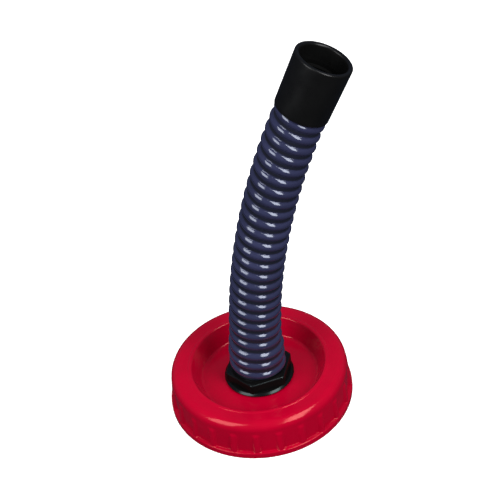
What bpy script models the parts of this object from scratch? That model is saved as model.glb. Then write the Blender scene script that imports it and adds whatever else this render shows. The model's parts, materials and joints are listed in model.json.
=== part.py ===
"""Flexible pouring spout on a wide-neck screw cap.

Metres, +Z up. The origin is on the cap's axis, in the plane of the cap's bottom rim. The hose leaves
the cap upright and leans over in one vertical plane, the bend plane. A place on the hose is given by
its distance along the hose's centre line, counted from where that line is still vertical.
"""
import math

import bmesh
import bpy
from mathutils import Matrix, Vector

GAP = 0.0003                     # clearance kept between pieces that touch

# Cap
CAP_RADIUS = 0.055               # over the grip ribs and the bottom lip
CAP_HEIGHT = 0.0255
CAP_WALL = 0.0025
SKIRT_RADIUS = 0.053             # between the ribs
SHOULDER_FILLET = 0.0068
LIP_HEIGHT = 0.0045              # the band round the bottom, which has a rounded upper edge
LIP_ROUNDING = 0.0012
EDGE_CHAMFER = 0.0008
CHANNEL_CHAMFER = 0.0015         # inside, between the skirt and the ceiling
CAP_SIDES = 48
RIB_COUNT = 24
RIB_WIDTH = 0.0042
RIB_HEIGHT = 0.0012
RIB_PHASE = math.radians(7.2)
RIB_TOP_SLOPE = 0.0035
RIB_ROOT = 0.0012                # how deep a rib reaches into the skirt and the shoulder
BEAD_RADIUS = 0.0414             # raised bead round the well's upper edge
BEAD_WIDTH = 0.0024
BEAD_HEIGHT = 0.0004
WELL_RADIUS = 0.0346             # where the well's side would meet its floor's edge
WELL_EDGE_Z = 0.0151
WELL_FILLET = 0.0020
CROWN_RADIUS = 0.0225            # the floor is flat inside this and falls gently outside it
FLOOR_Z = 0.01634

# Seal under the rim
SEAL_INNER_RADIUS = 0.0438
SEAL_OUTER_RADIUS = 0.0486
SEAL_THICKNESS = 0.0016

# Fitting through the floor
FITTING_SIDES = 36
STUB_RADIUS = 0.0166
STUB_END_Z = 0.0015
STUB_CHAMFER = 0.001
BORE_RADIUS = 0.01025
GASKET_THICKNESS = 0.0006
FLANGE_RADIUS = 0.0209
FLANGE_THICKNESS = 0.0015
HEX_CORNER_RADIUS = 0.0207
HEX_TOP_Z = 0.02546
HEX_PHASE = math.radians(13.1)
TAIL_LENGTH = 0.020
TAIL_RADIUS = 0.0122
BARB_RADIUS = 0.0131
BARB_COUNT = 3
BARB_PITCH = 0.006
BARB_CREST = 0.0045              # from the top of a barb's slope down to its crest
BARB_STEP = 0.0006
WASHER_RADIUS = 0.022
WASHER_THICKNESS = 0.0015
NUT_THICKNESS = 0.0065
NUT_CORNER_RADIUS = 0.0237

# Hose
HOSE_SIDES = 20
ARC_START_Z = 0.0224             # the centre line is vertical here and bends above it
ARC_RADIUS = 0.408
LEAN_AZIMUTH = math.radians(9.0)
WALL_INNER_RADIUS = 0.0125
WALL_OUTER_RADIUS = 0.0140
HELIX_INNER_RADIUS = 0.0146
HELIX_OUTER_RADIUS = 0.0156
HELIX_PITCH = 0.0075
HELIX_BASE_WIDTH = 0.0045
HELIX_SHOULDER = 0.7             # the rib's rounded flank, as shares of its height and half width
HELIX_STEPS = 16                 # per turn
FLARE = 0.0012                   # the hose is stretched this much over its tail
FLARE_FULL_TO = 0.017
FLARE_GONE_AT = 0.030
SECTION_TURNS = 2.25             # helix turns from one bending point to the next
BEND_POINTS = 10
FIRST_BEND = 0.02872
HELIX_END_GAP = 0.0006
SLEEVE_GAP = 0.0004

# Cuff
CUFF_START = 0.1893
CUFF_LENGTH = 0.0351
CUFF_FOOT_RADIUS = 0.0161
CUFF_MOUTH_RADIUS = 0.0171
CUFF_MOUTH_INNER_RADIUS = 0.0142
CUFF_STEP = 0.020                # how far the hose wall reaches into the cuff
CUFF_EDGE = 0.0006
CUFF_LEDGE = 0.0005              # how far the inner ledge, which the hose wall meets, stands in
CUFF_LEDGE_HEIGHT = 0.0012
CUFF_TAPER = 0.0012              # length of the slope from the ledge to the mouth's bore
CUFF_SIDES = 32

FOOT = HEX_TOP_Z + GAP - ARC_START_Z
LEAN = Vector((math.cos(LEAN_AZIMUTH), math.sin(LEAN_AZIMUTH), 0))
UP = Vector((0, 0, 1))
BEND_AXIS = UP.cross(LEAN)


def clear_scene():
    for item in list(bpy.data.objects):
        bpy.data.objects.remove(item, do_unlink=True)


def new_collection(name):
    collection = bpy.data.collections.new(name)
    bpy.context.scene.collection.children.link(collection)
    return collection


def plastic(name, colour, roughness):
    material = bpy.data.materials.new(name)
    material.use_nodes = True
    shader = material.node_tree.nodes["Principled BSDF"]
    shader.inputs["Base Color"].default_value = (*colour, 1)
    shader.inputs["Roughness"].default_value = roughness
    shader.inputs["Metallic"].default_value = 0
    return material


# Geometry helpers

def arc(centre, radius, start_deg, end_deg, steps):
    """Points of a circular arc in the (radius, height) plane."""
    points = []
    for i in range(steps + 1):
        angle = math.radians(start_deg + (end_deg - start_deg) * i / steps)
        points.append((centre[0] + radius * math.cos(angle), centre[1] + radius * math.sin(angle)))
    return points


def outline_object(name, outline):
    """A closed outline in the XZ plane, as edges only."""
    count = len(outline)
    mesh = bpy.data.meshes.new(name)
    edges = [(i, (i + 1) % count) for i in range(count)]
    mesh.from_pydata([(r, 0, z) for r, z in outline], edges, [])
    return bpy.data.objects.new(name, mesh)


def screw(item, sides, angle=2 * math.pi, rise=0.0):
    turn = item.modifiers.new("turn", "SCREW")
    turn.axis = "Z"
    turn.angle = angle
    turn.screw_offset = rise
    turn.steps = sides
    turn.render_steps = sides
    turn.use_merge_vertices = rise == 0
    turn.merge_threshold = 0.00001
    turn.use_smooth_shade = False
    return turn


def evaluated_mesh(item, name):
    """The mesh of an object with its modifiers applied; the object itself is removed."""
    bpy.context.view_layer.update()
    graph = bpy.context.evaluated_depsgraph_get()
    mesh = bpy.data.meshes.new_from_object(item.evaluated_get(graph))
    mesh.name = name
    bpy.data.objects.remove(item, do_unlink=True)
    return mesh


def turned(name, outline, sides, material, collection):
    """A ring turned about Z. The outline starts at its top and runs down its outer side first."""
    item = outline_object(name, outline)
    collection.objects.link(item)
    screw(item, sides)
    item.data.materials.append(material)
    return item


def prism(name, radius, low, high, sides, phase, material, collection):
    bm = bmesh.new()
    place = Matrix.Translation((0, 0, (low + high) / 2)) @ Matrix.Rotation(phase, 4, "Z")
    bmesh.ops.create_cone(bm, cap_ends=True, segments=sides, radius1=radius, radius2=radius,
                          depth=high - low, matrix=place)
    mesh = bpy.data.meshes.new(name)
    bm.to_mesh(mesh)
    bm.free()
    item = bpy.data.objects.new(name, mesh)
    collection.objects.link(item)
    item.data.materials.append(material)
    return item


def as_cutter(item):
    item.hide_render = True
    item.display_type = "WIRE"
    return item


def boolean(item, other, operation):
    cut = item.modifiers.new(operation.lower(), "BOOLEAN")
    cut.operation = operation
    cut.solver = "EXACT"
    cut.object = other


def soften(item, angle_deg=30):
    item.data.shade_smooth()
    item.data.set_sharp_from_angle(angle=math.radians(angle_deg))


# The hose's centre line

def lean_angle(distance):
    return min(max(distance, 0), CUFF_START) / ARC_RADIUS


def centre_point(distance):
    """Point of the centre line: vertical, then an arc, then straight through the cuff."""
    angle = lean_angle(distance)
    beyond = max(distance - CUFF_START, 0)
    below = min(distance, 0)
    across = ARC_RADIUS * (1 - math.cos(angle)) + beyond * math.sin(angle)
    height = ARC_START_Z + below + ARC_RADIUS * math.sin(angle) + beyond * math.cos(angle)
    return LEAN * across + UP * height


def hose_frame(distance):
    """Matrix whose Z runs along the hose and whose X starts out along the world's X."""
    turn = Matrix.Rotation(lean_angle(distance), 4, BEND_AXIS)
    return Matrix.Translation(centre_point(distance)) @ turn


def flare(distance):
    """How much wider the hose is where its tail stretches it."""
    t = (FLARE_GONE_AT - distance) / (FLARE_GONE_AT - FLARE_FULL_TO)
    t = min(max(t, 0), 1)
    return FLARE * t * t * (3 - 2 * t)


def bend_onto_hose(mesh):
    """Moves a straight mesh, built upright along Z, onto the leaning centre line."""
    for vertex in mesh.vertices:
        x, y, distance = vertex.co
        radius = math.hypot(x, y)
        grown = (radius + flare(distance)) / radius
        vertex.co = hose_frame(distance) @ Vector((x * grown, y * grown, 0))


def bend_distance(number):
    """Distance of a bending point, counted from 0 at the lowest."""
    return FIRST_BEND + number * SECTION_TURNS * HELIX_PITCH


def helix_azimuth(distance):
    """The helix is left-handed and faces away from the lean's left at the first bending point."""
    return LEAN_AZIMUTH - math.pi / 2 - 2 * math.pi * (distance - FIRST_BEND) / HELIX_PITCH


# Pieces

def make_cap(material, collection, cutters):
    ridge_r = SKIRT_RADIUS - SHOULDER_FILLET
    ridge_z = CAP_HEIGHT - SHOULDER_FILLET
    inner_skirt = SKIRT_RADIUS - CAP_WALL
    bead_inner = BEAD_RADIUS - BEAD_WIDTH / 2
    slope = Vector((bead_inner - WELL_RADIUS, CAP_HEIGHT - WELL_EDGE_Z)).normalized()
    under = Vector((slope.y, -slope.x)) * CAP_WALL
    reach = slope.x / slope.y
    ceiling_z = CAP_HEIGHT - CAP_WALL
    edge_under_z = WELL_EDGE_Z - CAP_WALL
    ceiling_r = WELL_RADIUS + under.x + (ceiling_z - WELL_EDGE_Z - under.y) * reach
    edge_under_r = WELL_RADIUS + under.x + (edge_under_z - WELL_EDGE_Z - under.y) * reach
    hole = STUB_RADIUS + GAP
    outline = [(BEAD_RADIUS + BEAD_WIDTH / 4, CAP_HEIGHT + BEAD_HEIGHT),
               (BEAD_RADIUS + BEAD_WIDTH / 2, CAP_HEIGHT)]
    outline += arc((ridge_r, ridge_z), SHOULDER_FILLET, 90, 0, 4)
    outline += [(SKIRT_RADIUS, LIP_HEIGHT),
                (CAP_RADIUS - LIP_ROUNDING / 2, LIP_HEIGHT - LIP_ROUNDING / 3),
                (CAP_RADIUS, LIP_HEIGHT - LIP_ROUNDING),
                (CAP_RADIUS, EDGE_CHAMFER), (CAP_RADIUS - EDGE_CHAMFER, 0),
                (inner_skirt, 0), (inner_skirt, ceiling_z - CHANNEL_CHAMFER),
                (inner_skirt - CHANNEL_CHAMFER, ceiling_z), (ceiling_r, ceiling_z),
                (edge_under_r, edge_under_z), (CROWN_RADIUS, FLOOR_Z - CAP_WALL),
                (hole, FLOOR_Z - CAP_WALL), (hole, FLOOR_Z), (CROWN_RADIUS, FLOOR_Z),
                (WELL_RADIUS - WELL_FILLET, WELL_EDGE_Z),
                (WELL_RADIUS + WELL_FILLET * slope.x, WELL_EDGE_Z + WELL_FILLET * slope.y),
                (bead_inner, CAP_HEIGHT),
                (BEAD_RADIUS - BEAD_WIDTH / 4, CAP_HEIGHT + BEAD_HEIGHT)]
    cap = turned("screw_cap", outline, CAP_SIDES, material, collection)
    boolean(cap, make_grip_ribs(material, cutters), "UNION")
    return cap


def make_grip_ribs(material, cutters):
    """Upright bars round the skirt, joined into one mesh, that are united with the cap."""
    low = LIP_HEIGHT / 2
    high = CAP_HEIGHT - SHOULDER_FILLET + RIB_TOP_SLOPE - RIB_ROOT
    inner = SKIRT_RADIUS - RIB_ROOT
    outer = SKIRT_RADIUS + RIB_HEIGHT
    bm = bmesh.new()
    for i in range(RIB_COUNT):
        turn = Matrix.Rotation(RIB_PHASE + 2 * math.pi * i / RIB_COUNT, 4, "Z")
        size = Matrix.Diagonal((outer - inner, RIB_WIDTH, high - low, 1))
        middle = Matrix.Translation(((inner + outer) / 2, 0, (low + high) / 2))
        bar = bmesh.ops.create_cube(bm, size=1, matrix=turn @ middle @ size)
        for vertex in bar["verts"]:
            if vertex.co.z > (low + high) / 2 and math.hypot(vertex.co.x, vertex.co.y) > SKIRT_RADIUS:
                vertex.co.z -= RIB_TOP_SLOPE
    mesh = bpy.data.meshes.new("grip_ribs")
    bm.to_mesh(mesh)
    bm.free()
    ribs = bpy.data.objects.new("grip_ribs", mesh)
    cutters.objects.link(ribs)
    ribs.data.materials.append(material)
    return as_cutter(ribs)


def ring(name, inner, outer, low, high, sides, material, collection):
    outline = [(outer, high), (outer, low), (inner, low), (inner, high)]
    return turned(name, outline, sides, material, collection)


def make_neck_seal(material, collection):
    top = CAP_HEIGHT - CAP_WALL - GAP
    return ring("neck_seal", SEAL_INNER_RADIUS, SEAL_OUTER_RADIUS, top - SEAL_THICKNESS, top, CAP_SIDES,
                material, collection)


def make_fitting(material, collection, cutters):
    flange_low = FLOOR_Z + GAP + GASKET_THICKNESS + GAP
    flange_high = flange_low + FLANGE_THICKNESS
    tail_top = HEX_TOP_Z + TAIL_LENGTH
    outline = []
    for i in range(BARB_COUNT):
        start = tail_top - i * BARB_PITCH
        outline += [(TAIL_RADIUS, start), (BARB_RADIUS, start - BARB_CREST),
                    (TAIL_RADIUS, start - BARB_CREST - BARB_STEP)]
    outline += [(TAIL_RADIUS, flange_high), (FLANGE_RADIUS, flange_high), (FLANGE_RADIUS, flange_low),
                (STUB_RADIUS, flange_low), (STUB_RADIUS, STUB_END_Z + STUB_CHAMFER),
                (STUB_RADIUS - STUB_CHAMFER, STUB_END_Z), (BORE_RADIUS, STUB_END_Z),
                (BORE_RADIUS, tail_top)]
    fitting = turned("hose_fitting", outline, FITTING_SIDES, material, collection)
    hexagon = prism("fitting_hexagon", HEX_CORNER_RADIUS, flange_high - GAP, HEX_TOP_Z, 6, HEX_PHASE,
                    material, cutters)
    hollow = prism("hexagon_bore", (BORE_RADIUS + TAIL_RADIUS) / 2, 0, 2 * HEX_TOP_Z, FITTING_SIDES, 0,
                   material, cutters)
    boolean(as_cutter(hexagon), as_cutter(hollow), "DIFFERENCE")
    boolean(fitting, hexagon, "UNION")
    return fitting


def make_locknut(material, collection, cutters):
    top = FLOOR_Z - CAP_WALL - GAP - WASHER_THICKNESS - GAP
    nut = prism("locknut", NUT_CORNER_RADIUS, top - NUT_THICKNESS, top, 6, 0, material, collection)
    hole = prism("locknut_bore", STUB_RADIUS + GAP, 0, 2 * top, FITTING_SIDES, 0, material, cutters)
    boolean(nut, as_cutter(hole), "DIFFERENCE")
    return nut


def make_wall_sleeve(name, low, high, rings, material, collection):
    """A stretch of the soft tube, one ring of points for each step along it."""
    levels = [low + (high - low) * i / rings for i in range(rings + 1)]
    outline = [(WALL_OUTER_RADIUS, z) for z in reversed(levels)]
    outline += [(WALL_INNER_RADIUS, z) for z in levels]
    straight = turned(name + "_straight", outline, HOSE_SIDES, material, collection)
    mesh = evaluated_mesh(straight, name)
    bend_onto_hose(mesh)
    item = bpy.data.objects.new(name, mesh)
    collection.objects.link(item)
    soften(item)
    return item


def make_helix(name, low, high, material, collection):
    """A stretch of the stiff spiral rib, with flat ends."""
    half = HELIX_BASE_WIDTH / 2
    crest = HELIX_OUTER_RADIUS - HELIX_INNER_RADIUS
    flank = HELIX_INNER_RADIUS + HELIX_SHOULDER * crest
    section = [(HELIX_INNER_RADIUS, half), (flank, HELIX_SHOULDER * half), (HELIX_OUTER_RADIUS, 0),
               (flank, -HELIX_SHOULDER * half), (HELIX_INNER_RADIUS, -half)]
    turns = (high - low) / HELIX_PITCH
    rib = outline_object(name + "_straight", section)
    collection.objects.link(rib)
    rib.data.materials.append(material)
    screw(rib, round(turns * HELIX_STEPS), -2 * math.pi * turns, high - low)
    mesh = evaluated_mesh(rib, name)
    bm = bmesh.new()
    bm.from_mesh(mesh)
    place = Matrix.Translation((0, 0, low)) @ Matrix.Rotation(helix_azimuth(low), 4, "Z")
    bmesh.ops.transform(bm, matrix=place, verts=bm.verts)
    bmesh.ops.holes_fill(bm, edges=bm.edges)
    bmesh.ops.recalc_face_normals(bm, faces=bm.faces)
    bm.to_mesh(mesh)
    bm.free()
    bend_onto_hose(mesh)
    item = bpy.data.objects.new(name, mesh)
    collection.objects.link(item)
    soften(item, 50)
    return item


def make_cuff(material, collection):
    bore = WALL_OUTER_RADIUS + GAP
    ledge_radius = WALL_INNER_RADIUS + CUFF_LEDGE
    ledge_z = CUFF_STEP + GAP
    taper_end = ledge_z + CUFF_LEDGE_HEIGHT + CUFF_TAPER
    outline = [(CUFF_MOUTH_RADIUS - CUFF_EDGE, CUFF_LENGTH),
               (CUFF_MOUTH_RADIUS, CUFF_LENGTH - CUFF_EDGE), (CUFF_FOOT_RADIUS, CUFF_EDGE),
               (CUFF_FOOT_RADIUS - CUFF_EDGE, 0), (bore, 0), (bore, ledge_z), (ledge_radius, ledge_z),
               (ledge_radius, ledge_z + CUFF_LEDGE_HEIGHT), (CUFF_MOUTH_INNER_RADIUS - CUFF_EDGE, taper_end),
               (CUFF_MOUTH_INNER_RADIUS, CUFF_LENGTH - CUFF_EDGE),
               (CUFF_MOUTH_INNER_RADIUS + CUFF_EDGE, CUFF_LENGTH)]
    cuff = turned("end_cuff", outline, CUFF_SIDES, material, collection)
    cuff.matrix_world = hose_frame(CUFF_START)
    return cuff


def add_bending_point(number, parent, collection):
    """An empty whose X is the axis the hose bends about; even ones lean it and odd ones sway it."""
    distance = bend_distance(number)
    sideways = BEND_AXIS if number % 2 == 0 else hose_frame(distance).to_3x3() @ LEAN
    along = hose_frame(distance).to_3x3() @ UP
    turn = Matrix((sideways, along.cross(sideways), along)).transposed().to_4x4()
    point = bpy.data.objects.new(f"bending_point_{number + 1:02d}", None)
    point.empty_display_size = 0.01
    collection.objects.link(point)
    point.matrix_world = Matrix.Translation(centre_point(distance)) @ turn
    bpy.context.view_layer.update()
    if parent:
        keep_place(point, parent)
    return point


def keep_place(item, parent):
    item.parent = parent
    item.matrix_parent_inverse = parent.matrix_world.inverted()
    bpy.context.view_layer.update()


def make_hose(wall_material, helix_material, cuff_material, collection):
    """Sections of wall and helix. Each section above the lowest hangs on its own bending point."""
    half_turn_gap = HELIX_END_GAP / (2 * math.pi * HELIX_INNER_RADIUS) * HELIX_PITCH / 2
    cuff_end = CUFF_START + CUFF_STEP
    point = None
    for section in range(BEND_POINTS + 1):
        first = section == 0
        last = section == BEND_POINTS
        low = FOOT if first else bend_distance(section - 1) + SLEEVE_GAP / 2
        high = cuff_end if last else bend_distance(section) - SLEEVE_GAP / 2
        helix_low = FOOT + HELIX_BASE_WIDTH / 2 if first else bend_distance(section - 1) + half_turn_gap
        helix_high = bend_distance(section) - half_turn_gap
        if last:
            helix_high = CUFF_START - GAP - HELIX_BASE_WIDTH / 2
        pieces = [make_wall_sleeve(f"hose_wall_{section:02d}", low, high, 5 if first else 2,
                                   wall_material, collection),
                  make_helix(f"hose_helix_{section:02d}", helix_low, helix_high,
                             helix_material, collection)]
        if last:
            pieces.append(make_cuff(cuff_material, collection))
        if not first:
            point = add_bending_point(section - 1, point, collection)
            for piece in pieces:
                keep_place(piece, point)


def main():
    clear_scene()
    collection = new_collection("pouring_spout")
    cutters = new_collection("cutters")
    red = plastic("cap_red", (0.56, 0.0, 0.028), 0.28)
    black = plastic("fitting_black", (0.012, 0.013, 0.014), 0.25)
    grey = plastic("seal_grey", (0.25, 0.25, 0.25), 0.7)
    wall = plastic("hose_wall_slate", (0.03, 0.03, 0.055), 0.35)
    helix = plastic("hose_helix_slate", (0.04, 0.04, 0.075), 0.3)
    cuff = plastic("cuff_black", (0.016, 0.016, 0.018), 0.5)

    make_cap(red, collection, cutters)
    make_neck_seal(grey, collection)
    gasket_low = FLOOR_Z + GAP
    ring("fitting_gasket", STUB_RADIUS + GAP, FLANGE_RADIUS - EDGE_CHAMFER, gasket_low,
         gasket_low + GASKET_THICKNESS, FITTING_SIDES, grey, collection)
    make_fitting(black, collection, cutters)
    washer_top = FLOOR_Z - CAP_WALL - GAP
    ring("locknut_washer", STUB_RADIUS + GAP, WASHER_RADIUS, washer_top - WASHER_THICKNESS, washer_top,
         FITTING_SIDES, grey, collection)
    make_locknut(black, collection, cutters)
    make_hose(wall, helix, cuff, collection)


main()
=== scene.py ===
"""Looks of the flexible pouring spout: cap, fitting, ribbed hose and cuff, in the CAD's frame."""
import json
import math

import bpy
import numpy as np
from mathutils import Matrix, Quaternion, Vector


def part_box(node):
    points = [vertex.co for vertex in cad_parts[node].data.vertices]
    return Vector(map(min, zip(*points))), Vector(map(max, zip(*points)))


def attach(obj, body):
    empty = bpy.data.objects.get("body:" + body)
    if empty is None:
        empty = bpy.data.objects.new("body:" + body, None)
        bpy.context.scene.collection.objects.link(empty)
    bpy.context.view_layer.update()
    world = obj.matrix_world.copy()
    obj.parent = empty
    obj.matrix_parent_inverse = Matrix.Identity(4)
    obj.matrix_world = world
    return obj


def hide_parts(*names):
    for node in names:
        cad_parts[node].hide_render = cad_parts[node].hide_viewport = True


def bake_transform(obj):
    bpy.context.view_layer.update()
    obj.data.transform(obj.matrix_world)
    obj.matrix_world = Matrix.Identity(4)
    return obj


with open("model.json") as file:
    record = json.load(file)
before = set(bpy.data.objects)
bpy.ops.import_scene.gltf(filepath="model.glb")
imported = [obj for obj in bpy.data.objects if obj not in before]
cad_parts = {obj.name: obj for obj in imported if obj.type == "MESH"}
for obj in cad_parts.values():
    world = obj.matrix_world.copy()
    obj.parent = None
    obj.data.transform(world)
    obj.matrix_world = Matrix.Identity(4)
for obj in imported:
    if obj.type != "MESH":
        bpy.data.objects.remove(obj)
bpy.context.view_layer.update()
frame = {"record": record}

MM = 0.001

# Levels and radii that the frame gives
CAP_RADIUS, _, CAP_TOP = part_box("screw_cap")[1]
FITTING_LOW, FITTING_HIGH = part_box("hose_fitting")
HOSE_FOOT_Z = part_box("hose_wall_00")[0][2]
SEAL_LOW, SEAL_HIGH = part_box("neck_seal")
GASKET_LOW, GASKET_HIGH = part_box("fitting_gasket")
WASHER_LOW, WASHER_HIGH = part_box("locknut_washer")
NUT_LOW, NUT_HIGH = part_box("locknut")
JOINTS = frame["record"]["behaviour"]["joints"]

# Cap
CAP_WALL = 2.5 * MM
SKIRT_RADIUS = 53.0 * MM
SHOULDER_FILLET = 6.8 * MM
LIP_HEIGHT = 4.5 * MM
RIB_COUNT = 24
RIB_PHASE = math.radians(7.2)
RIB_WIDTH = 4.2 * MM
RIB_HEIGHT_AT_TOP = 0.54 * MM
RIB_HEIGHT_AT_LIP = 1.5 * MM
RIB_TOP_Z = 18.1 * MM
BEAD_RADIUS = 41.4 * MM
BEAD_WIDTH = 2.4 * MM
BEAD_HEIGHT = 0.4 * MM
CAP_HEIGHT = CAP_TOP - BEAD_HEIGHT
WELL_RADIUS = 34.6 * MM
WELL_EDGE_Z = 15.1 * MM
CROWN_RADIUS = 22.5 * MM
FLOOR_Z = 16.34 * MM

# Seal, nut and fitting
SEAL_INNER_RADIUS = 43.8 * MM
NUT_CORNER_RADIUS = 23.7 * MM
NUT_BEVEL = 0.8 * MM
HOLE_CLEARANCE = 0.3 * MM
STUB_RADIUS = 16.6 * MM
BORE_RADIUS = 10.25 * MM
FLANGE_RADIUS = 20.9 * MM
FLANGE_THICKNESS = 1.5 * MM
FLANGE_CHAMFER_WIDTH = 1.3 * MM
FLANGE_CHAMFER_HEIGHT = 1.1 * MM
HEX_CORNER_RADIUS = 20.7 * MM
HEX_CORNER_BLUNTING = 0.35 * MM
HEX_BEVEL = 0.9 * MM
HEX_SIDE_TOP_BELOW_FOOT = 1.1 * MM
HEX_PHASE = math.radians(13.1)
TAIL_RADIUS = 12.2 * MM

# Hose: the centre line is vertical at ARC_START_Z, bends at ARC_RADIUS and runs straight in the cuff
ARC_START_Z = 22.4 * MM
ARC_RADIUS = 408 * MM
LEAN_AZIMUTH = math.radians(9.0)
CUFF_START = 189.3 * MM
CUFF_LENGTH = 35.1 * MM
CUFF_FOOT_RADIUS = 16.1 * MM
CUFF_MOUTH_RADIUS = 17.1 * MM
CUFF_MOUTH_BORE = 14.2 * MM
LEDGE_BORE = 12.9 * MM
LEDGE_LOW = 20.3 * MM
LEDGE_HIGH = 21.6 * MM
HOSE_IN_CUFF = 20 * MM
HOSE_BORE = 12.5 * MM
HELIX_PITCH = 7.5 * MM
SECTION = 2.25 * HELIX_PITCH
FIRST_BEND = 28.72 * MM
GROOVE_RADIUS = 14.1 * MM
RIB_HALF_WIDTH = 2.3 * MM
RIB_ARC_RADIUS = 2.5 * MM
RIB_FOOT = 0.12 * MM
CREST_RADIUS = 15.6 * MM
FLARE = 1.2 * MM
FLARE_FULL_TO = 17 * MM
FLARE_GONE_AT = 30 * MM

# Scales of the plastics' noise patterns, in cycles per metre, and the depth of the grain
CLOUD_SCALE = 45
GLOSS_SCALE = 120
GRAIN_SCALE = 900
GRAIN_DEPTH = 0.2 * MM

# Studio: reflections see a dimmer ambient light than everything else does
AMBIENT_ABOVE = 0.65
AMBIENT_BELOW = 0.3
REFLECTED_ABOVE = 0.18
REFLECTED_BELOW = 0.04
LIGHT_DISTANCE = 1.3
LIGHT_AIM = (0, 0, 0.06)
CAMERA_PLACE = (0.0043, -0.9648, 0.9608)
CAMERA_TILT = math.radians(48.7636)
CAMERA_ROLL = math.radians(-7.7728)
CAMERA_LENS_MM = 161.24

UP = Vector((0, 0, 1))
LEAN = Vector((math.cos(LEAN_AZIMUTH), math.sin(LEAN_AZIMUTH), 0))
BEND_AXIS = UP.cross(LEAN)


# ---------------------------------------------------------------- materials

def plastic(name, colour, roughness, mottle=0.05, grain=0.03, rough_swing=0.06, specular=0.5,
            reflection=(1, 1, 1)):
    """Moulded plastic: faint mottling of the colour, uneven gloss and fine grain."""
    material = bpy.data.materials.new(name)
    material.use_nodes = True
    nodes = material.node_tree.nodes
    links = material.node_tree.links
    shader = nodes["Principled BSDF"]
    shader.inputs["IOR"].default_value = 1.5
    shader.inputs["Specular IOR Level"].default_value = specular
    shader.inputs["Specular Tint"].default_value = (*reflection, 1)

    place = nodes.new("ShaderNodeTexCoord")
    cloud = nodes.new("ShaderNodeTexNoise")
    cloud.inputs["Scale"].default_value = CLOUD_SCALE
    cloud.inputs["Detail"].default_value = 5
    links.new(place.outputs["Object"], cloud.inputs["Vector"])
    tint = nodes.new("ShaderNodeValToRGB")
    tint.color_ramp.elements[0].position = 0.35
    tint.color_ramp.elements[0].color = (*[max(0.0, c * (1 - mottle)) for c in colour], 1)
    tint.color_ramp.elements[1].position = 0.65
    tint.color_ramp.elements[1].color = (*[min(1.0, c * (1 + mottle)) for c in colour], 1)
    links.new(cloud.outputs["Fac"], tint.inputs["Fac"])
    links.new(tint.outputs["Color"], shader.inputs["Base Color"])

    smear = nodes.new("ShaderNodeTexNoise")
    smear.inputs["Scale"].default_value = GLOSS_SCALE
    smear.inputs["Detail"].default_value = 6
    links.new(place.outputs["Object"], smear.inputs["Vector"])
    gloss = nodes.new("ShaderNodeMapRange")
    gloss.inputs["From Min"].default_value = 0.3
    gloss.inputs["From Max"].default_value = 0.7
    gloss.inputs["To Min"].default_value = max(0.02, roughness - rough_swing)
    gloss.inputs["To Max"].default_value = roughness + rough_swing
    links.new(smear.outputs["Fac"], gloss.inputs["Value"])
    links.new(gloss.outputs["Result"], shader.inputs["Roughness"])

    fine = nodes.new("ShaderNodeTexNoise")
    fine.inputs["Scale"].default_value = GRAIN_SCALE
    fine.inputs["Detail"].default_value = 3
    links.new(place.outputs["Object"], fine.inputs["Vector"])
    bump = nodes.new("ShaderNodeBump")
    bump.inputs["Strength"].default_value = grain
    bump.inputs["Distance"].default_value = GRAIN_DEPTH
    links.new(fine.outputs["Fac"], bump.inputs["Height"])
    links.new(bump.outputs["Normal"], shader.inputs["Normal"])
    return material


def with_painted_shade_and_dull_parts(material, colour, roughness, specular):
    """Lets two mesh attributes, 0 where they are missing, change the plastic from place to place.

    "groove" brings in the given colour, which on the hose is painted shade in the hollows between
    the ribs and in the bore; "sheltered" brings in the given roughness, and either one the given
    specular level. That level varies over the surface, so it is linked, and the export drops it.
    """
    nodes = material.node_tree.nodes
    links = material.node_tree.links
    shader = nodes["Principled BSDF"]
    # Painted shade: the groove attribute mixes in a darker colour, on the hose in the hollows between
    # the ribs and in the bore.
    groove = nodes.new("ShaderNodeAttribute")
    groove.attribute_name = "groove"
    tint = nodes.new("ShaderNodeMix")
    tint.data_type = "RGBA"
    links.new(groove.outputs["Fac"], tint.inputs["Factor"])
    links.new(shader.inputs["Base Color"].links[0].from_socket, tint.inputs["A"])
    tint.inputs["B"].default_value = (*colour, 1)
    links.new(tint.outputs["Result"], shader.inputs["Base Color"])
    shelter = nodes.new("ShaderNodeAttribute")
    shelter.attribute_name = "sheltered"
    dull = nodes.new("ShaderNodeMix")
    links.new(shelter.outputs["Fac"], dull.inputs["Factor"])
    links.new(shader.inputs["Roughness"].links[0].from_socket, dull.inputs["A"])
    dull.inputs["B"].default_value = roughness
    links.new(dull.outputs["Result"], shader.inputs["Roughness"])
    either = nodes.new("ShaderNodeMath")
    either.operation = "MAXIMUM"
    links.new(groove.outputs["Fac"], either.inputs[0])
    links.new(shelter.outputs["Fac"], either.inputs[1])
    sheen = nodes.new("ShaderNodeMix")
    links.new(either.outputs["Value"], sheen.inputs["Factor"])
    sheen.inputs["A"].default_value = shader.inputs["Specular IOR Level"].default_value
    sheen.inputs["B"].default_value = specular
    links.new(sheen.outputs["Result"], shader.inputs["Specular IOR Level"])
    return material


# ---------------------------------------------------------------- outlines and meshes

def rounded(corners, steps=6):
    """A closed outline through corners (radius, height, fillet), each corner turned into a curve."""
    outline = []
    count = len(corners)
    for i, (x, z, fillet) in enumerate(corners):
        here = Vector((x, z))
        if fillet <= 0:
            outline.append((x, z))
            continue
        before = Vector(corners[i - 1][:2]) - here
        after = Vector(corners[(i + 1) % count][:2]) - here
        half = before.angle(after) / 2
        run = min(fillet / math.tan(half), 0.49 * before.length, 0.49 * after.length)
        radius = run * math.tan(half)
        bisector = (before.normalized() + after.normalized()).normalized()
        centre = here + bisector * radius / math.sin(half)
        start = here + before.normalized() * run - centre
        end = here + after.normalized() * run - centre
        sweep = start.angle_signed(end)
        for k in range(steps + 1):
            spoke = start.copy()
            spoke.rotate(Matrix.Rotation(-sweep * k / steps, 2))
            outline.append((centre.x + spoke.x, centre.y + spoke.y))
    return outline


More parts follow.
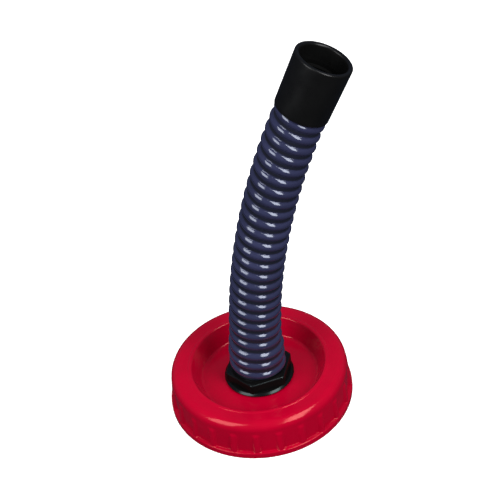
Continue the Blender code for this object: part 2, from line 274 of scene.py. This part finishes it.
def dense(outline, longest, upright=None):
    """Adds points so that no side of a closed outline is longer than the given length.

    Sides that run straight up or down can have a shorter limit of their own.
    """
    result = []
    for i, point in enumerate(outline):
        following = outline[(i + 1) % len(outline)]
        limit = upright if upright and abs(point[0] - following[0]) < 1e-6 else longest
        parts = max(1, math.ceil(math.dist(point, following) / limit))
        for k in range(parts):
            t = k / parts
            result.append((point[0] + (following[0] - point[0]) * t,
                           point[1] + (following[1] - point[1]) * t))
    return result


def mesh_object(name, points, faces, material, sharp_deg=None):
    mesh = bpy.data.meshes.new(name)
    mesh.from_pydata(np.asarray(points).tolist(), [], faces)
    mesh.update()
    mesh.shade_smooth()
    if sharp_deg:
        mesh.set_sharp_from_angle(angle=math.radians(sharp_deg))
    item = bpy.data.objects.new(name, mesh)
    bpy.context.scene.collection.objects.link(item)
    mesh.materials.append(material)
    return item


def add_mask(item, name, values):
    layer = item.data.attributes.new(name, "FLOAT", "POINT")
    layer.data.foreach_set("value", np.asarray(values, float).ravel())


def ring_faces(rows, columns):
    """Faces of a grid that closes on itself both ways."""
    faces = []
    for i in range(rows):
        after = (i + 1) % rows
        for j in range(columns):
            beside = (j + 1) % columns
            faces.append((i * columns + j, after * columns + j,
                          after * columns + beside, i * columns + beside))
    return faces


def turned(name, outline, columns, material, shape=None, sharp_deg=35):
    """A ring turned about Z, its outline starting at the top and running down its outer side.

    shape(radius, azimuth, height) gives the radius to use, on arrays.
    """
    radius, azimuth = np.meshgrid([r for r, z in outline],
                                  2 * np.pi * np.arange(columns) / columns, indexing="ij")
    height = np.repeat([[z] for r, z in outline], columns, axis=1)
    if shape:
        radius = shape(radius, azimuth, height)
    points = np.stack([radius * np.cos(azimuth), radius * np.sin(azimuth), height], -1)
    return mesh_object(name, points.reshape(-1, 3), ring_faces(len(outline), columns), material,
                       sharp_deg)


def smoothstep(low, high, value):
    t = np.clip((value - low) / (high - low), 0, 1)
    return t * t * (3 - 2 * t)


# ---------------------------------------------------------------- hose centre line

def centre_line(distance):
    """Lean angle, reach along LEAN and height of the centre line, on arrays."""
    distance = np.asarray(distance, float)
    angle = np.clip(distance, 0, CUFF_START) / ARC_RADIUS
    beyond = np.maximum(distance - CUFF_START, 0)
    across = ARC_RADIUS * (1 - np.cos(angle)) + beyond * np.sin(angle)
    height = ARC_START_Z + ARC_RADIUS * np.sin(angle) + beyond * np.cos(angle)
    return angle, across, height + np.minimum(distance, 0)


def on_hose(distance, azimuth, radius):
    """World points at a distance along the hose, an azimuth round it and a radius from its middle."""
    angle, across, height = centre_line(distance)
    along = radius * np.cos(azimuth - LEAN_AZIMUTH)
    beside = radius * np.sin(azimuth - LEAN_AZIMUTH)
    forward = across + along * np.cos(angle)
    x = forward * LEAN.x + beside * BEND_AXIS.x
    y = forward * LEAN.y + beside * BEND_AXIS.y
    return np.stack([x, y, height - along * np.sin(angle)], -1)


def flare(distance):
    return FLARE * (1 - smoothstep(FLARE_FULL_TO, FLARE_GONE_AT, distance))


def rib_height(off):
    """Height of the half-round rib above the groove at a distance from its crest, along the hose."""
    base = math.sqrt(RIB_ARC_RADIUS ** 2 - RIB_HALF_WIDTH ** 2)
    arc = np.sqrt(RIB_ARC_RADIUS ** 2 - np.minimum(off, RIB_HALF_WIDTH) ** 2) - base
    foot = RIB_FOOT * np.exp(-((off - RIB_HALF_WIDTH) / (3 * RIB_FOOT)) ** 2)
    return np.maximum(arc, 0) + foot


def above_crest(distance, azimuth):
    """How far along the hose a place is above the nearest crest of the helix, or below if negative."""
    start = LEAN_AZIMUTH - math.pi / 2
    turns = (distance - FIRST_BEND) / HELIX_PITCH + (azimuth - start) / (2 * math.pi)
    return ((turns + 0.5) % 1 - 0.5) * HELIX_PITCH


def hose_radius(distance, azimuth):
    crest = CREST_RADIUS - rib_height(0.0)
    radius = crest + rib_height(np.abs(above_crest(distance, azimuth))) + flare(distance)
    return np.where(distance > CUFF_START, np.minimum(radius, GROOVE_RADIUS - 0.0003), radius)


# ---------------------------------------------------------------- pieces

def make_hose(material):
    """The ribbed tube, in one piece for each bending point."""
    columns = 120
    rows_per_section = 56
    foot = HOSE_FOOT_Z - ARC_START_Z
    middles = [foot] + [FIRST_BEND + (i - 0.5) * SECTION for i in range(1, len(JOINTS))]
    middles.append(CUFF_START + HOSE_IN_CUFF)
    azimuth = 2 * np.pi * np.arange(columns) / columns
    for i, joint in enumerate(JOINTS):
        low, high = middles[i], middles[i + 1]
        rows = round((high - low) / SECTION * rows_per_section)
        outer, around = np.meshgrid(np.linspace(low, high, rows + 1), azimuth, indexing="ij")
        skin = on_hose(outer, around, hose_radius(outer, around))
        step = 1e-5
        beside = on_hose(outer, around + step, hose_radius(outer, around + step))
        beyond = on_hose(outer + step, around, hose_radius(outer + step, around))
        normal = np.cross(beside - skin, beyond - skin)
        inner, around = np.meshgrid(np.linspace(high, low, rows // 4 + 1), azimuth, indexing="ij")
        bore = on_hose(inner, around, HOSE_BORE + flare(inner))
        inward = on_hose(inner, around, 0) - bore
        points = np.concatenate([skin, bore]).reshape(-1, 3)
        normals = np.concatenate([normal / np.linalg.norm(normal, axis=-1, keepdims=True),
                                  inward / np.linalg.norm(inward, axis=-1, keepdims=True)])
        faces = [face[::-1] for face in ring_faces(len(outer) + len(inner), columns)]
        hose = mesh_object(f"hose_{i:02d}", points, faces, material)
        hose.data.normals_split_custom_set_from_vertices(normals.reshape(-1, 3).tolist())
        # Painted shade: the groove mask darkens the hollows between the ribs, and the bore is darkened
        # all over; the sheltered mask under each rib only changes the gloss.
        above = above_crest(outer, azimuth + np.zeros_like(outer))
        groove_shade_mask = smoothstep(RIB_HALF_WIDTH, RIB_HALF_WIDTH + 0.8 * MM, np.abs(above))
        dull = smoothstep(0.2 * MM, 1 * MM, -above) * (1 - groove_shade_mask)
        add_mask(hose, "groove", np.concatenate([groove_shade_mask, np.ones_like(inner)]))
        add_mask(hose, "sheltered", np.concatenate([dull, np.zeros_like(inner)]))
        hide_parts(f"hose_wall_{i + 1:02d}", f"hose_helix_{i + 1:02d}")
        if i == 0:
            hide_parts("hose_wall_00", "hose_helix_00")
        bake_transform(hose)


def make_cuff(material):
    """A sleeve that widens towards its mouth, with a ledge inside that the hose's end meets."""
    outline = rounded([(CUFF_MOUTH_RADIUS, CUFF_LENGTH, 1.0 * MM), (CUFF_FOOT_RADIUS, 0, 0.4 * MM),
                       (GROOVE_RADIUS, 0, 0), (GROOVE_RADIUS, LEDGE_LOW, 0),
                       (LEDGE_BORE, LEDGE_LOW, 0.2 * MM), (LEDGE_BORE, LEDGE_HIGH, 0.3 * MM),
                       (CUFF_MOUTH_BORE, LEDGE_HIGH + 0.6 * MM, 0.4 * MM),
                       (CUFF_MOUTH_BORE, CUFF_LENGTH, 1.5 * MM)], 8)
    cuff = turned("cuff", dense(outline, 2 * MM), 128, material)
    points = np.array([v.co for v in cuff.data.vertices])
    radius = np.hypot(points[:, 0], points[:, 1])
    azimuth = np.arctan2(points[:, 1], points[:, 0])
    inside = radius < CUFF_MOUTH_BORE + 0.1 * MM
    add_mask(cuff, "sheltered", inside & (points[:, 2] < 26 * MM))
    placed = on_hose(CUFF_START + points[:, 2], azimuth, radius)
    cuff.data.vertices.foreach_set("co", placed.ravel())
    cuff.data.update()
    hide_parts("end_cuff")
    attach(cuff, JOINTS[-1]["child"])


def grip_ribs(radius, azimuth, height):
    """Raises the skirt's outer face into upright ribs that lean out towards the lip."""
    pitch = 2 * np.pi / RIB_COUNT
    off = ((azimuth - RIB_PHASE) / pitch + 0.5) % 1 - 0.5
    across = np.abs(off) * pitch * SKIRT_RADIUS
    side = 1 - smoothstep(RIB_WIDTH / 2 - 1.0 * MM, RIB_WIDTH / 2 + 0.5 * MM, across)
    top = 1 - smoothstep(RIB_TOP_Z - 1.8 * MM, RIB_TOP_Z + 0.2 * MM, height)
    outside = radius > SKIRT_RADIUS - 1.2 * MM
    down = np.clip((RIB_TOP_Z - height) / (RIB_TOP_Z - LIP_HEIGHT), 0, 1)
    rib = RIB_HEIGHT_AT_TOP + (RIB_HEIGHT_AT_LIP - RIB_HEIGHT_AT_TOP) * down
    raised = np.maximum(radius, SKIRT_RADIUS + rib)
    grown = radius + (raised - radius) * side * top
    return np.where(outside, grown, radius)


def make_cap(material):
    """Outer face, lip, hollow underside, centre hole, dished floor, well side and bead, in order."""
    bead_inner = BEAD_RADIUS - BEAD_WIDTH / 2
    slope = Vector((bead_inner - WELL_RADIUS, CAP_HEIGHT - WELL_EDGE_Z)).normalized()
    under = Vector((slope.y, -slope.x)) * CAP_WALL
    reach = slope.x / slope.y
    ceiling_z = CAP_HEIGHT - CAP_WALL
    edge_under_z = WELL_EDGE_Z - CAP_WALL
    ceiling_r = WELL_RADIUS + under.x + (ceiling_z - WELL_EDGE_Z - under.y) * reach
    edge_under_r = WELL_RADIUS + under.x + (edge_under_z - WELL_EDGE_Z - under.y) * reach
    inner_skirt = SKIRT_RADIUS - CAP_WALL
    hole = STUB_RADIUS + HOLE_CLEARANCE
    outline = rounded([(BEAD_RADIUS + BEAD_WIDTH / 4, CAP_HEIGHT + BEAD_HEIGHT, 1 * MM),
                       (BEAD_RADIUS + BEAD_WIDTH / 2, CAP_HEIGHT, 1 * MM),
                       (SKIRT_RADIUS, CAP_HEIGHT, SHOULDER_FILLET),
                       (SKIRT_RADIUS, LIP_HEIGHT, 0.3 * MM),
                       (CAP_RADIUS, LIP_HEIGHT - 0.5 * MM, 0.6 * MM),
                       (CAP_RADIUS, 0, 0.8 * MM), (inner_skirt, 0, 0.6 * MM),
                       (inner_skirt, ceiling_z, 1.5 * MM), (ceiling_r, ceiling_z, 0.8 * MM),
                       (edge_under_r, edge_under_z, 3 * MM),
                       (CROWN_RADIUS, FLOOR_Z - CAP_WALL, 20 * MM),
                       (hole, FLOOR_Z - CAP_WALL, 0.2 * MM),
                       (hole, FLOOR_Z, 0.2 * MM), (CROWN_RADIUS, FLOOR_Z, 40 * MM),
                       (WELL_RADIUS, WELL_EDGE_Z, 2.4 * MM), (bead_inner, CAP_HEIGHT, 1.6 * MM),
                       (BEAD_RADIUS - BEAD_WIDTH / 4, CAP_HEIGHT + BEAD_HEIGHT, 1 * MM)], 6)
    cap = turned("cap", dense(outline, 3 * MM, 0.7 * MM), RIB_COUNT * 20, material,
                 grip_ribs)
    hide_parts("screw_cap")
    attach(cap, "cap")


def make_fitting(material):
    """The barbed tail, flange and stub turned as one, and the hexagon round the hose's foot."""
    flange_low = GASKET_HIGH[2]
    flange_high = flange_low + FLANGE_THICKNESS
    tail_top = FITTING_HIGH[2]
    corners = [(TAIL_RADIUS - 0.5 * MM, tail_top, 0.3 * MM)]
    for down, radius in ((4.5 * MM, 12.6 * MM), (10.5 * MM, 13.1 * MM), (16.5 * MM, 13.1 * MM)):
        corners += [(radius, tail_top - down, 0.2 * MM),
                    (TAIL_RADIUS, tail_top - down - 0.6 * MM, 0.3 * MM),
                    (TAIL_RADIUS, tail_top - down - 2 * MM, 0.3 * MM)]
    corners += [(TAIL_RADIUS, flange_high, 0),
                (FLANGE_RADIUS - FLANGE_CHAMFER_WIDTH, flange_high, 0.5 * MM),
                (FLANGE_RADIUS, flange_high - FLANGE_CHAMFER_HEIGHT, 0.4 * MM),
                (FLANGE_RADIUS, flange_low, 0.3 * MM), (STUB_RADIUS, flange_low, 0.2 * MM),
                (STUB_RADIUS, FITTING_LOW[2], 0.8 * MM), (BORE_RADIUS, FITTING_LOW[2], 0.8 * MM),
                (BORE_RADIUS, tail_top, 0.5 * MM)]
    body = turned("fitting", dense(rounded(corners, 4), 1 * MM), 144, material)
    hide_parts("hose_fitting")
    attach(body, "cap")
    hexagon = hex_ring("fitting_hexagon", HEX_CORNER_RADIUS, TAIL_RADIUS - 0.3 * MM,
                       flange_high - 0.1 * MM, HOSE_FOOT_Z - 0.3 * MM, HEX_PHASE, material, HEX_BEVEL)
    side_top = HOSE_FOOT_Z - HEX_SIDE_TOP_BELOW_FOOT
    add_mask(hexagon, "sheltered", [v.co.z < side_top for v in hexagon.data.vertices])
    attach(hexagon, "cap")


def hex_ring(name, corner_radius, hole_radius, low, high, phase, material, bevel):
    """A hexagonal ring with slightly rounded edges."""
    columns = 240

    def shape(radius, azimuth, height):
        turn = (azimuth - phase) % (math.pi / 3) - math.pi / 6
        inset = corner_radius - radius
        flat = (corner_radius - inset) * math.cos(math.pi / 6) / np.cos(turn)
        blunt = corner_radius - HEX_CORNER_BLUNTING - inset
        outside = radius > (corner_radius + hole_radius) / 2
        return np.where(outside, np.minimum(flat, blunt), radius)

    outline = rounded([(corner_radius, high, bevel), (corner_radius, low, 0.3 * MM),
                       (hole_radius, low, 0), (hole_radius, high, 0)], 4)
    return turned(name, outline, columns, material, shape, 20)


def make_small_rings(rubber, gasket, black):
    for name, (low, high), node, material in (
            ("seal_ring", (SEAL_LOW, SEAL_HIGH), "neck_seal", rubber),
            ("gasket_ring", (GASKET_LOW, GASKET_HIGH), "fitting_gasket", gasket),
            ("washer_ring", (WASHER_LOW, WASHER_HIGH), "locknut_washer", gasket)):
        outer = high[0]
        inner = SEAL_INNER_RADIUS if node == "neck_seal" else STUB_RADIUS + HOLE_CLEARANCE
        corner = 0.25 * (high[2] - low[2])
        outline = rounded([(outer, high[2], corner), (outer, low[2], corner),
                           (inner, low[2], corner), (inner, high[2], corner)], 4)
        ring = turned(name, outline, 144, material)
        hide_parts(node)
        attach(ring, "cap")
    nut = hex_ring("nut", NUT_CORNER_RADIUS, STUB_RADIUS + HOLE_CLEARANCE, NUT_LOW[2], NUT_HIGH[2], 0,
                   black, NUT_BEVEL)
    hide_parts("locknut")
    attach(nut, "cap")


# ---------------------------------------------------------------- stage

def area_light(name, azimuth_deg, elevation_deg, width, height, power, roll_deg=0):
    """A softbox aimed at the middle of the hose."""
    azimuth, elevation = math.radians(azimuth_deg), math.radians(elevation_deg)
    aim = Vector(LIGHT_AIM)
    outward = Vector((math.cos(elevation) * math.cos(azimuth),
                      math.cos(elevation) * math.sin(azimuth), math.sin(elevation)))
    place = aim + LIGHT_DISTANCE * outward
    lamp = bpy.data.lights.new(name, "AREA")
    lamp.shape = "RECTANGLE"
    lamp.size = width
    lamp.size_y = height
    lamp.energy = power
    item = bpy.data.objects.new(name, lamp)
    bpy.context.scene.collection.objects.link(item)
    item.location = place
    facing = (aim - place).to_track_quat("-Z", "Y")
    item.rotation_euler = (facing @ Quaternion((0, 0, 1), math.radians(roll_deg))).to_euler()


def make_floor():
    """Pale paper that neither shows in the object's reflections nor lights it."""
    bpy.ops.mesh.primitive_plane_add(size=12, location=(0, 0, -0.0002))
    floor = bpy.context.object
    floor.name = "floor"
    paper = bpy.data.materials.new("white_paper")
    paper.use_nodes = True
    shader = paper.node_tree.nodes["Principled BSDF"]
    shader.inputs["Base Color"].default_value = (0.86, 0.86, 0.86, 1)
    shader.inputs["Roughness"].default_value = 0.9
    shader.inputs["Specular IOR Level"].default_value = 0.1
    shader.inputs["Emission Color"].default_value = (1, 1, 1, 1)
    shader.inputs["Emission Strength"].default_value = 0.5
    floor.data.materials.append(paper)
    floor.visible_glossy = False
    floor.visible_diffuse = False


def make_ambient_light():
    """An even white light, weaker from below; reflections see a dimmer and bluer one instead."""
    world = bpy.data.worlds.new("studio")
    bpy.context.scene.world = world
    world.use_nodes = True
    tree = world.node_tree
    tree.nodes["Background"].inputs["Color"].default_value = (1, 1, 1, 1)
    direction = tree.nodes.new("ShaderNodeTexCoord")
    split = tree.nodes.new("ShaderNodeSeparateXYZ")
    tree.links.new(direction.outputs["Generated"], split.inputs["Vector"])
    fade = tree.nodes.new("ShaderNodeMapRange")
    fade.inputs["From Min"].default_value = -0.3
    fade.inputs["From Max"].default_value = 0.3
    fade.inputs["To Min"].default_value = AMBIENT_BELOW
    fade.inputs["To Max"].default_value = AMBIENT_ABOVE
    tree.links.new(split.outputs["Z"], fade.inputs["Value"])
    tree.links.new(fade.outputs["Result"], tree.nodes["Background"].inputs["Strength"])
    dim = tree.nodes.new("ShaderNodeBackground")
    dim.inputs["Color"].default_value = (0.5, 0.62, 1, 1)
    lower = tree.nodes.new("ShaderNodeMapRange")
    lower.inputs["From Min"].default_value = -0.2
    lower.inputs["From Max"].default_value = 0.2
    lower.inputs["To Min"].default_value = REFLECTED_BELOW
    lower.inputs["To Max"].default_value = REFLECTED_ABOVE
    tree.links.new(split.outputs["Z"], lower.inputs["Value"])
    tree.links.new(lower.outputs["Result"], dim.inputs["Strength"])
    path = tree.nodes.new("ShaderNodeLightPath")
    choice = tree.nodes.new("ShaderNodeMixShader")
    tree.links.new(path.outputs["Is Glossy Ray"], choice.inputs["Fac"])
    tree.links.new(tree.nodes["Background"].outputs["Background"], choice.inputs[1])
    tree.links.new(dim.outputs["Background"], choice.inputs[2])
    tree.links.new(choice.outputs["Shader"], tree.nodes["World Output"].inputs["Surface"])


def make_camera():
    camera = bpy.data.cameras.new("camera")
    camera.lens = CAMERA_LENS_MM
    camera.sensor_width = 36
    item = bpy.data.objects.new("camera", camera)
    bpy.context.scene.collection.objects.link(item)
    tilt = Matrix.Rotation(CAMERA_TILT, 4, "X")
    roll = Matrix.Rotation(CAMERA_ROLL, 4, "Z")
    item.matrix_world = Matrix.Translation(CAMERA_PLACE) @ tilt @ roll
    bpy.context.scene.camera = item


def main():
    red = plastic("cap_red", (0.31, 0.0, 0.014), 0.15, grain=0.02, specular=0.45, rough_swing=0.03,
                  reflection=(1, 0.4, 0.35))
    slate = plastic("hose_slate", (0.019, 0.0205, 0.05), 0.12, mottle=0.1, specular=0.75,
                    rough_swing=0.015, grain=0.01, reflection=(0.8, 0.86, 1))
    # The darker slate here is painted shade for the hollows between the hose's ribs and for its bore.
    with_painted_shade_and_dull_parts(slate, (0.010, 0.011, 0.018), 0.5, 0.15)
    black = plastic("fitting_black", (0.003, 0.003, 0.003), 0.2, mottle=0.15, specular=0.25,
                    rough_swing=0.03, reflection=(0.8, 1, 1))
    with_painted_shade_and_dull_parts(black, (0.003, 0.003, 0.003), 0.35, 0.03)
    gasket = plastic("gasket_rubber", (0.008, 0.008, 0.008), 0.6, grain=0.15, specular=0.2)
    cuff = plastic("cuff_black", (0.003, 0.003, 0.003), 0.32, mottle=0.15, grain=0.1, specular=0.22)
    with_painted_shade_and_dull_parts(cuff, (0.003, 0.003, 0.003), 0.6, 0.03)
    rubber = plastic("seal_rubber", (0.18, 0.18, 0.18), 0.6, grain=0.15)
    bpy.context.scene.view_settings.view_transform = "Standard"
    make_floor()
    make_ambient_light()
    area_light("softbox_left", -146, 41, 0.66, 1.0, 14)
    area_light("softbox_right", -46, 43, 0.54, 1.35, 21, roll_deg=-30)
    make_camera()
    make_cap(red)
    make_fitting(black)
    make_small_rings(rubber, gasket, black)
    make_hose(slate)
    make_cuff(cuff)


main()
